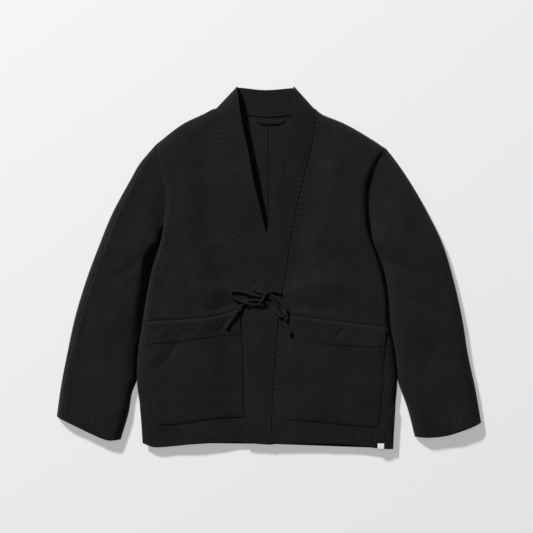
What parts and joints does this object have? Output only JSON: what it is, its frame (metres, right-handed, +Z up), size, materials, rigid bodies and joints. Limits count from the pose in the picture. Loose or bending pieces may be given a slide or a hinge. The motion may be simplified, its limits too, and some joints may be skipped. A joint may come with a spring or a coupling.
{
  "type": "noragi jacket",
  "caption": "Cotton noragi jacket laid flat on its back, front bands crossed left over right and tied in a bow, two patch pockets.",
  "frame": {"origin": "centre of the box's underside, on the surface the jacket lies on", "axes": "+X towards the wearer's left sleeve, +Y towards the collar, +Z up out of the front"},
  "size_m": [0.876, 0.7485, 0.0321],
  "materials": {
    "sashiko_cotton": "matt woven",
    "band_cotton": "matt woven, folded double",
    "pocket_cotton": "matt plain weave",
    "tie_cotton": "matt braided",
    "tab_cotton": "woven tape"
  },
  "bodies": {
    "root": {"back_right": "sashiko_cotton", "back_left": "sashiko_cotton", "front_right": "sashiko_cotton", "front_left": "sashiko_cotton", "sleeve_right_upper": "sashiko_cotton", "sleeve_right_under": "sashiko_cotton", "sleeve_left_upper": "sashiko_cotton", "sleeve_left_under": "sashiko_cotton", "neckband_back": "band_cotton", "neckband_right": "band_cotton", "neckband_left": "band_cotton", "pocket_right": "pocket_cotton", "pocket_left": "pocket_cotton", "tie_right": "tie_cotton", "tie_left": "tie_cotton", "hanger_loop": "band_cotton", "hem_label": "tab_cotton"}
  },
  "joints": []
}
